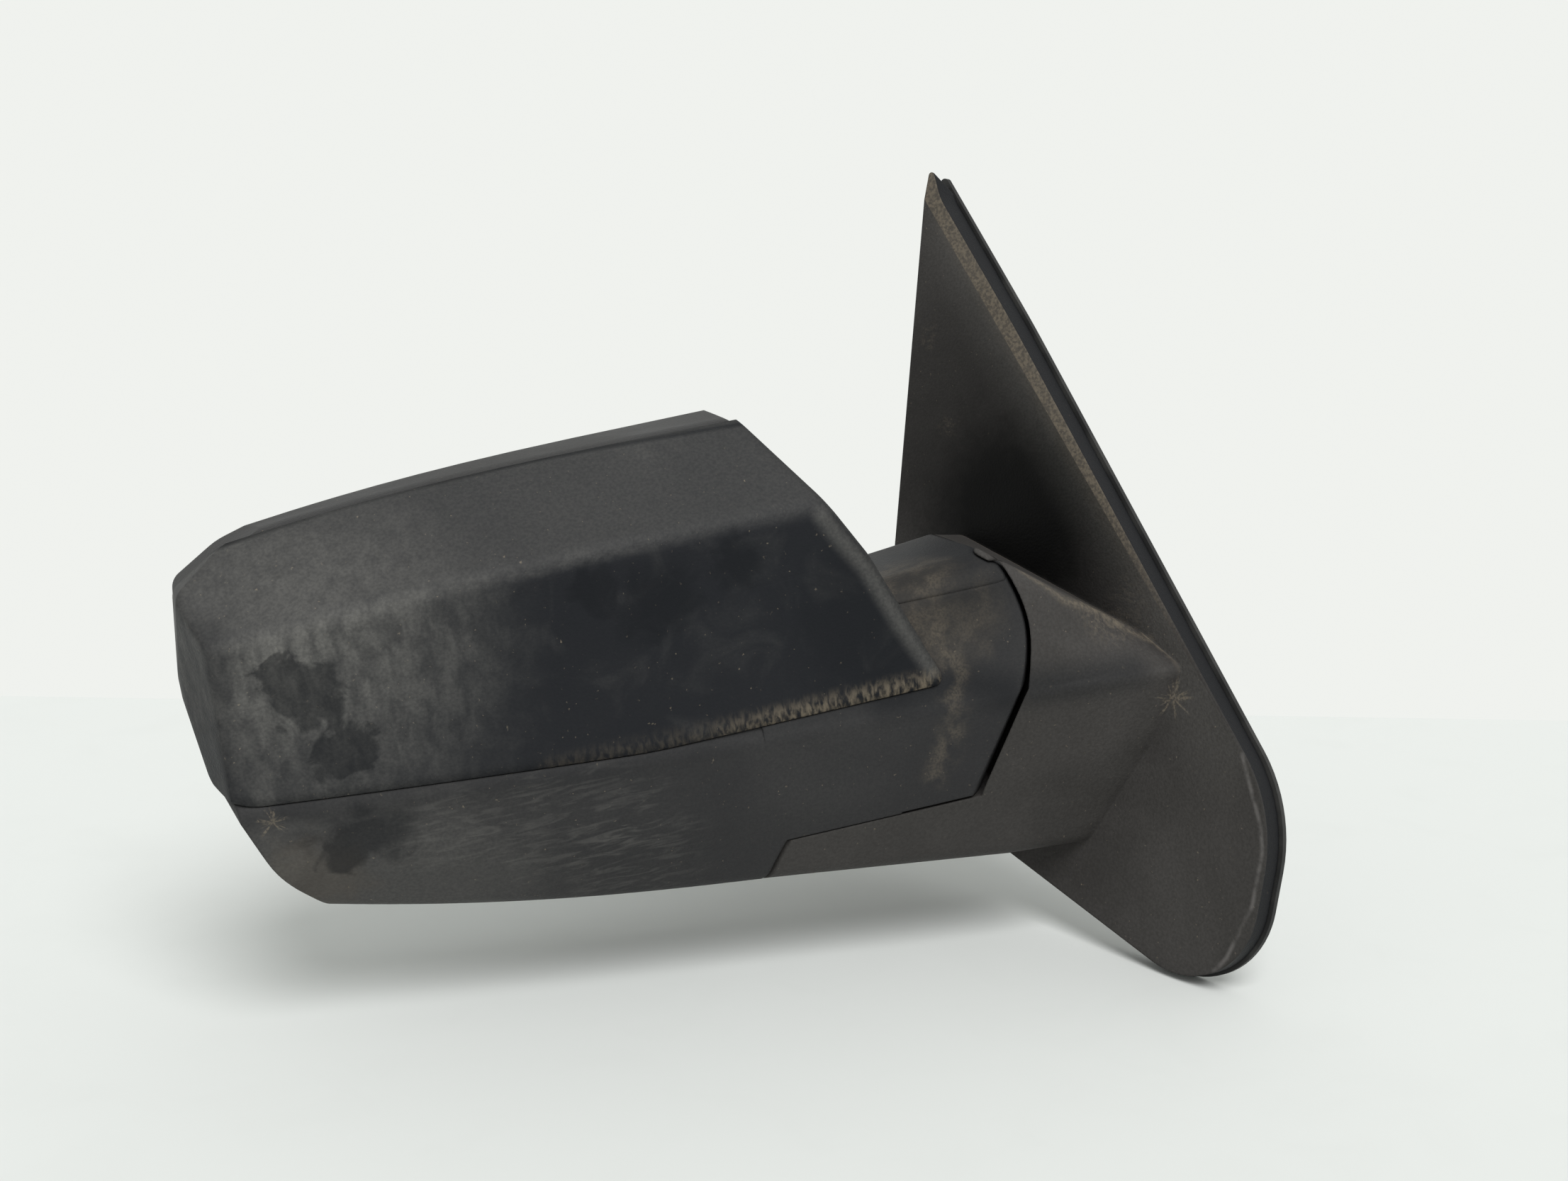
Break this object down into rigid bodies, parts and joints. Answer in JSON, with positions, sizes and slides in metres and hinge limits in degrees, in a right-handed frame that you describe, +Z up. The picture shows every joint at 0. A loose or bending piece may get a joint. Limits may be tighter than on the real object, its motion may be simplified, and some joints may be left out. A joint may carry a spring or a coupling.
{
  "type": "door mirror",
  "caption": "Right-hand door mirror for a pickup or large SUV: triangular sail base, folding angular head with front cap, and a power-adjusted mirror glass.",
  "frame": {"origin": "centre of the stud circle, on the plane where the base meets the door", "axes": "+X inboard towards the door, -Y vehicle forward, +Z up; the mirror glass faces +Y"},
  "size_m": [0.46, 0.3053, 0.3668],
  "materials": {
    "shell": "fine moulded grain",
    "cap_skin": "fine moulded grain",
    "sail_skin": "fine moulded grain",
    "seal": "matte",
    "bracket": "as cast",
    "frame": "glass filled",
    "steel": "zinc plated",
    "washer": "plain",
    "drive": "plain",
    "motor": "bright",
    "drive_white": "plain",
    "carrier": "plain",
    "heater": "satin",
    "mirror": "polished"
  },
  "bodies": {
    "base": {"sail_cover": "sail_skin", "gasket": "seal", "base_plate": "bracket", "door_studs": "steel", "cover_screws": "steel", "wire_grommet": "seal", "pivot_post": "steel", "thrust_washer": "washer", "fold_spring": "steel", "spring_retainer": "steel"},
    "head": {"front_cap": "cap_skin", "lower_housing": "shell", "rear_housing": "shell", "head_frame": "frame", "housing_screws": "steel", "drive_screws": "steel", "drive_housing": "drive", "drive_cover": "drive", "pan_motor": "motor", "tilt_motor": "motor"},
    "gimbal": {"gimbal_cross": "drive_white"},
    "glass": {"glass_carrier": "carrier", "heater_pad": "heater", "mirror_glass": "mirror"},
    "pan_screw": {"pan_plunger": "drive_white"},
    "tilt_screw": {"tilt_plunger": "drive_white"}
  },
  "joints": [
    {"name": "head_fold", "type": "hinge", "parent": "base", "child": "head", "pos_m": [-0.11333, 0.03721, 0], "axis": [0, 0, 1], "range_deg": [-62, 40]},
    {"name": "glass_pan", "type": "hinge", "parent": "head", "child": "gimbal", "pos_m": [-0.25943, 0.11818, 0.06762], "axis": [-0.0327, -0.0935, 0.9951], "range_deg": [-8, 8]},
    {"name": "glass_tilt", "type": "hinge", "parent": "gimbal", "child": "glass", "pos_m": [-0.25943, 0.11818, 0.06762], "axis": [-0.9439, 0.3303, 0], "range_deg": [-8, 8]},
    {"name": "pan_drive", "type": "slide", "parent": "head", "child": "pan_screw", "axis": [0.3287, 0.9392, 0.099], "range_m": [-0.0048, 0.0048]},
    {"name": "tilt_drive", "type": "slide", "parent": "head", "child": "tilt_screw", "axis": [0.3287, 0.9392, 0.099], "range_m": [-0.0048, 0.0048]}
  ],
  "couplings": [
    {"joint": "pan_drive", "follows": "glass_pan", "m_per_rad": -0.03},
    {"joint": "tilt_drive", "follows": "glass_tilt", "m_per_rad": 0.03}
  ]
}
